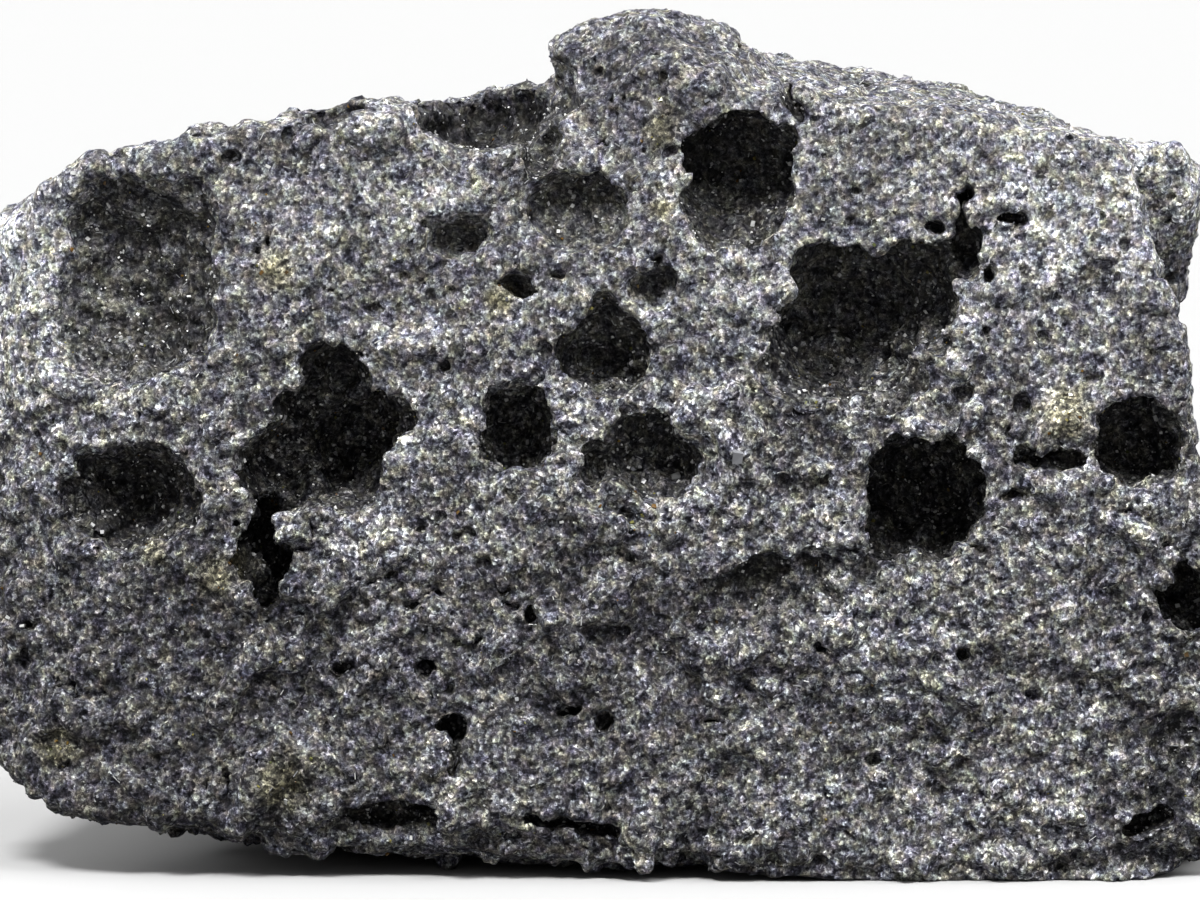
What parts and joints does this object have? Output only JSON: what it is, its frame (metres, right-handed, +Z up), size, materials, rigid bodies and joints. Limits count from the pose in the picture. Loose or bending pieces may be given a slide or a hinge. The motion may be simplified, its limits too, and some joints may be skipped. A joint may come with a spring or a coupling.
{
  "type": "vesicular basalt",
  "caption": "Broken hand specimen of dark grey vesicular basalt: a blocky lava rock with round gas-bubble hollows, a knob on its top edge and a flat underside.",
  "frame": {"origin": "on the surface that the stone rests on, at the middle of its bounding box in X and Y", "axes": "+Z up; +X along the stone's length, to the right when facing the broad broken face; +Y from that face towards the back"},
  "size_m": [0.099, 0.0603, 0.0655],
  "materials": {
    "basalt": "rough"
  },
  "bodies": {
    "root": {"basalt_stone": "basalt"}
  },
  "joints": []
}
